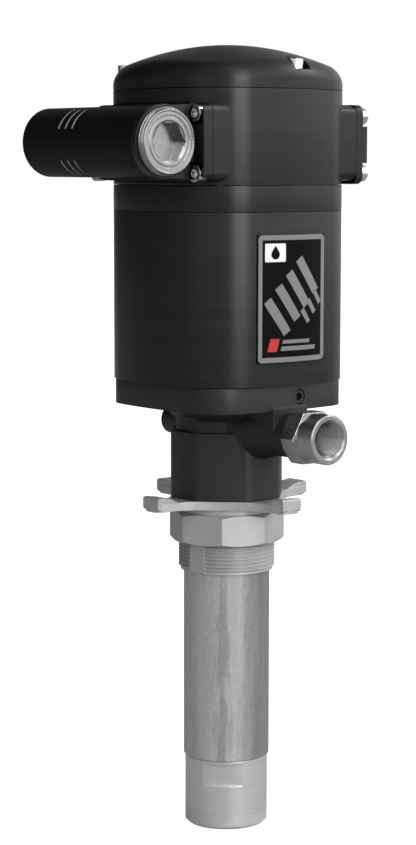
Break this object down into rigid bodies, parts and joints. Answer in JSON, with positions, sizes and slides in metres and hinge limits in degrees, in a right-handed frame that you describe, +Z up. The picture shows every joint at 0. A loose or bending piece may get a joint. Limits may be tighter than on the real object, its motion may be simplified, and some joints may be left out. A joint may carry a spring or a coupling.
{
  "type": "drum barrel pump",
  "caption": "Air-driven drum pump: square motor with silencer and side outlet, clamp ring and threaded bung adapter on a suction tube with a ball foot valve.",
  "frame": {"origin": "under the middle of the overall footprint, in the plane of the open foot end; the pump axis is vertical and stands at x -12.15 mm, y 18.54 mm", "axes": "+Z up along the pump axis, from the foot to the motor lid; +X towards the fluid outlet and the data plate; -Y towards the exhaust block and silencer; +Y towards the air inlet"},
  "size_m": [0.1604, 0.1732, 0.4784],
  "materials": {
    "anodised": "black anodised, fine brushed, satin",
    "painted": "black satin paint on a casting",
    "zinc": "zinc-coated casting, matt grey",
    "steel": "machined steel",
    "bright": "bright nickel or zinc plate",
    "tube": "galvanised steel with soft vertical streaks",
    "plastic": "black moulded plastic",
    "rubber": "black rubber",
    "felt": "pale felt",
    "plate": "printed plate, black field with a grey border",
    "bronze": "bearing bronze"
  },
  "bodies": {
    "motor": {"motor_cylinder": "anodised", "cylinder_head": "anodised", "valve_housing": "anodised", "motor_lid": "anodised", "exhaust_manifold": "anodised", "inlet_cover": "anodised", "pump_base": "painted", "side_plug": "painted", "tie_bolt_1": "steel", "tie_bolt_2": "steel", "tie_bolt_3": "steel", "tie_bolt_4": "steel", "valve_sleeve": "steel", "foot_valve_body": "steel", "foot_ball_stop": "steel", "lid_screw_1": "bright", "lid_screw_2": "bright", "lid_screw_3": "bright", "outlet_adapter": "bright", "exhaust_screw_1": "bright", "exhaust_screw_2": "bright", "exhaust_screw_3": "bright", "exhaust_screw_4": "bright", "inlet_screw_1": "bright", "inlet_screw_2": "bright", "inlet_screw_3": "bright", "inlet_screw_4": "bright", "exhaust_plug": "bright", "pump_tube": "tube", "silencer_shell": "plastic", "rod_seal": "rubber", "silencer_felt": "felt", "data_plate": "plate", "rod_bushing": "bronze", "spool_stop_inlet": "bronze", "spool_stop_exhaust": "bronze"},
    "piston_rod": {"motor_piston": "anodised", "piston_seal": "rubber", "piston_nut": "steel", "piston_rod": "steel", "plunger": "steel", "plunger_seal": "plastic"},
    "plunger_ball": {"plunger_ball": "bright"},
    "foot_ball": {"foot_ball": "bright"},
    "valve_spool": {"valve_spool": "bright"},
    "upper_pilot_pin": {"upper_pilot_pin": "steel"},
    "lower_pilot_pin": {"lower_pilot_pin": "steel"},
    "gland_ring": {"bung_gasket": "rubber"},
    "bung_adapter": {"bung_adapter": "zinc"},
    "clamp_ring": {"clamp_ring": "zinc"}
  },
  "joints": [
    {"name": "rod_stroke", "type": "slide", "parent": "motor", "child": "piston_rod", "axis": [0, 0, 1], "range_m": [-0.07, 0]},
    {"name": "plunger_ball_lift", "type": "slide", "parent": "piston_rod", "child": "plunger_ball", "axis": [0, 0, 1], "range_m": [0, 0.005]},
    {"name": "foot_ball_lift", "type": "slide", "parent": "motor", "child": "foot_ball", "axis": [0, 0, 1], "range_m": [0, 0.006]},
    {"name": "spool_shift", "type": "slide", "parent": "motor", "child": "valve_spool", "axis": [0, 1, 0], "range_m": [-0.007, 0.007]},
    {"name": "upper_pilot_lift", "type": "slide", "parent": "motor", "child": "upper_pilot_pin", "axis": [0, 0, 1], "range_m": [0, 0.004]},
    {"name": "lower_pilot_drop", "type": "slide", "parent": "motor", "child": "lower_pilot_pin", "axis": [0, 0, 1], "range_m": [-0.004, 0]},
    {"name": "bung_set_height", "type": "slide", "parent": "motor", "child": "gland_ring", "axis": [0, 0, 1], "range_m": [-0.1, 0]},
    {"name": "bung_adapter_turn", "type": "hinge", "parent": "gland_ring", "child": "bung_adapter", "pos_m": [-0.01215, 0.01854, 0.187], "axis": [0, 0, 1], "continuous": true},
    {"name": "clamp_ring_turn", "type": "hinge", "parent": "gland_ring", "child": "clamp_ring", "pos_m": [-0.01215, 0.01854, 0.203], "axis": [0, 0, 1], "continuous": true}
  ]
}
